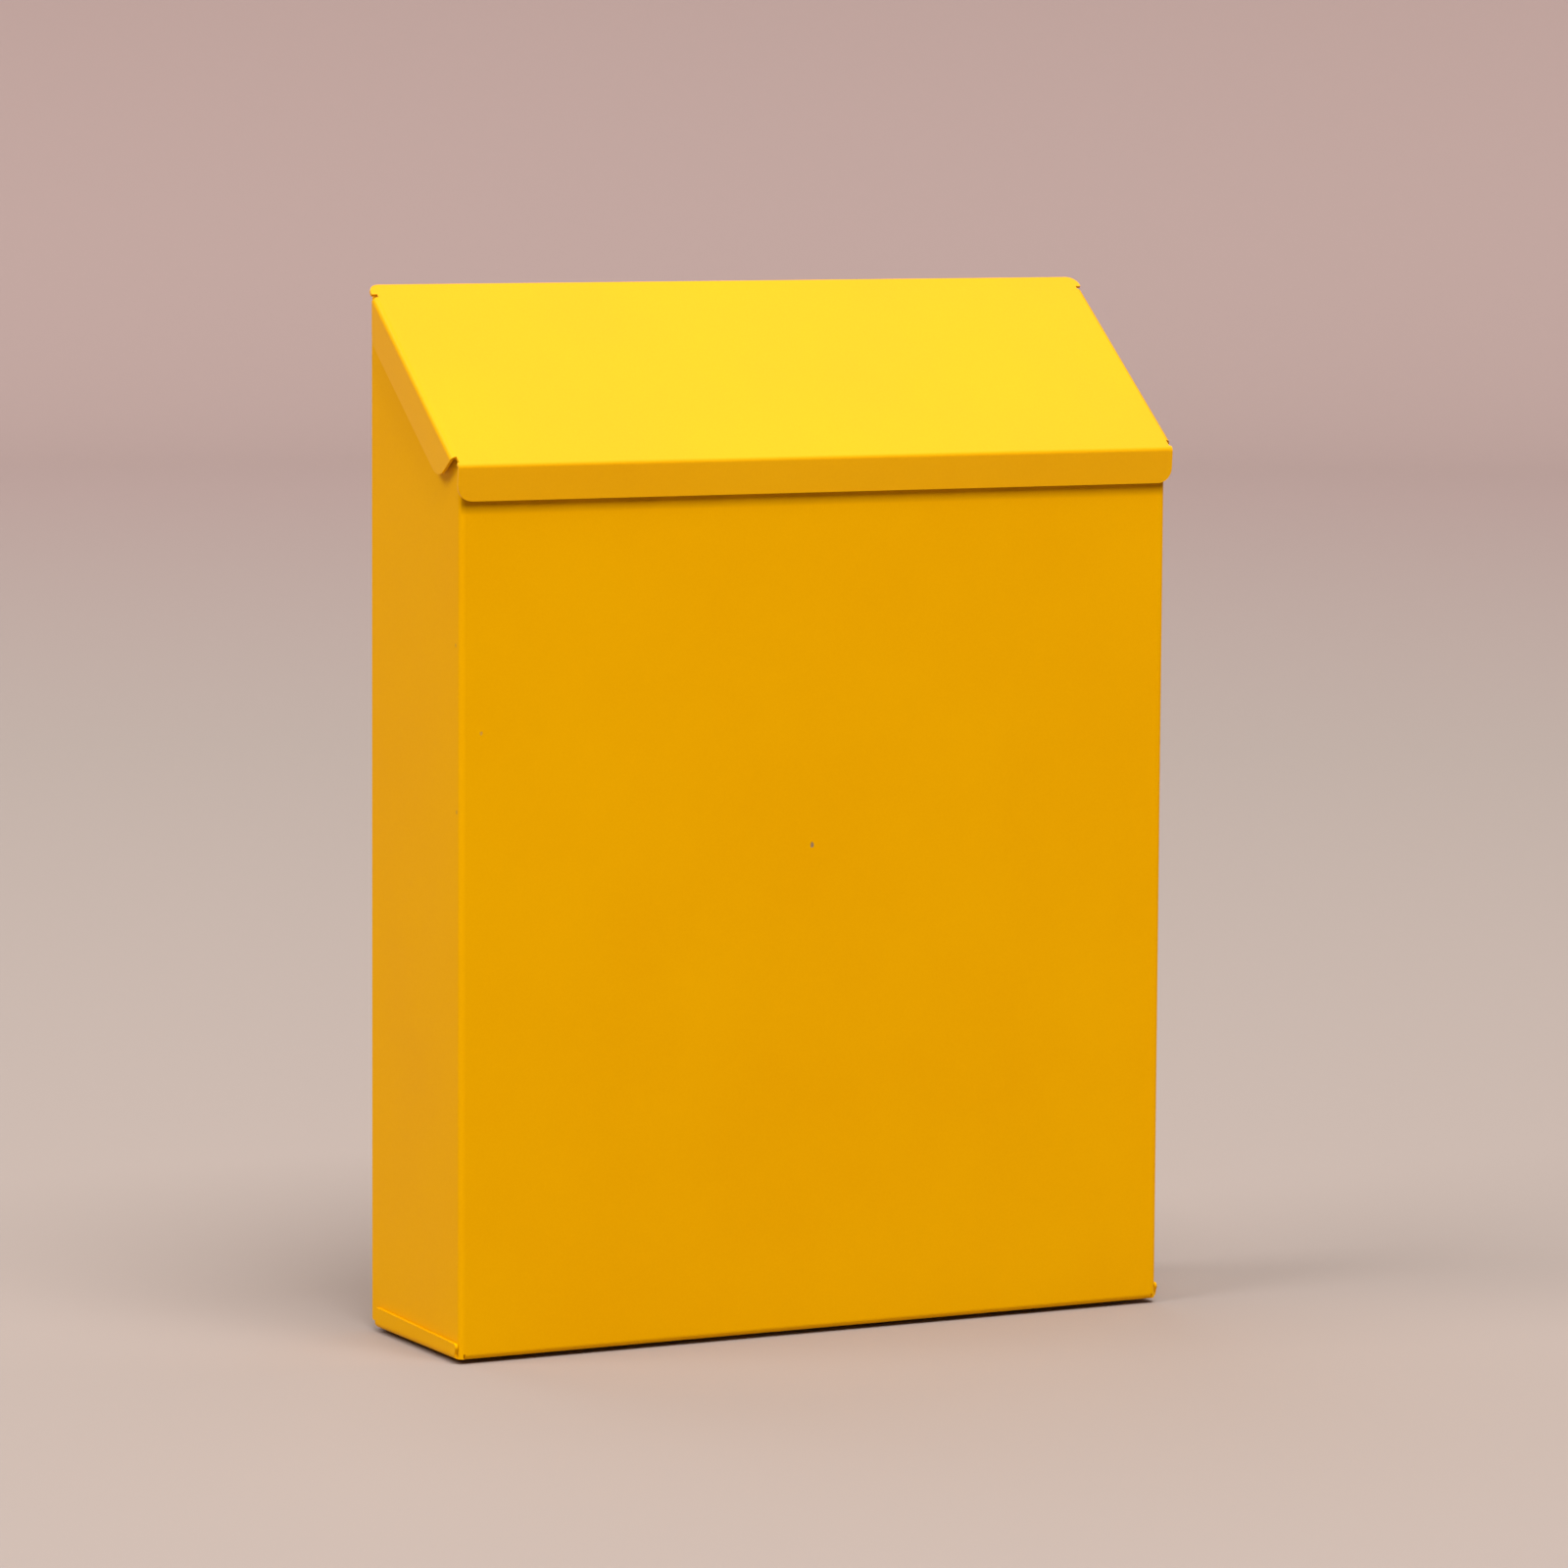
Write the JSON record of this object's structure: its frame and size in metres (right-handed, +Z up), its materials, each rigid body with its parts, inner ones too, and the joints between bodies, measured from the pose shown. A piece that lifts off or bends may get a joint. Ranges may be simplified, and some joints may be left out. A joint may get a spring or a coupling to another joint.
{
  "type": "wall letter box",
  "caption": "Slim vertical letter box of folded sheet steel with a plain front and a sloping, downturned-edge lid hinged along the back.",
  "frame": {"origin": "middle of the base, on the surface that the box stands on", "axes": "+Z up; the front panel faces -Y and the wall is at +Y; +X is to the right of someone facing the front"},
  "size_m": [0.2756, 0.0782, 0.3579],
  "materials": {
    "yellow_powder_coat": "satin powder coat with faint orange peel",
    "rivet_aluminium": "plain aluminium"
  },
  "bodies": {
    "box": {"box_shell": "yellow_powder_coat", "back_panel": "yellow_powder_coat", "hinge_box_leaf": "yellow_powder_coat", "hinge_pin": "yellow_powder_coat", "hinge_rivet_1": "rivet_aluminium", "hinge_rivet_2": "rivet_aluminium", "hinge_rivet_3": "rivet_aluminium", "hinge_rivet_4": "rivet_aluminium", "hinge_rivet_5": "rivet_aluminium", "hinge_rivet_6": "rivet_aluminium"},
    "lid": {"lid": "yellow_powder_coat", "hinge_lid_leaf": "yellow_powder_coat"}
  },
  "joints": [
    {"name": "lid_hinge", "type": "hinge", "parent": "box", "child": "lid", "pos_m": [0, 0.0349, 0.35505], "axis": [-1, 0, 0], "range_deg": [0, 125]}
  ]
}
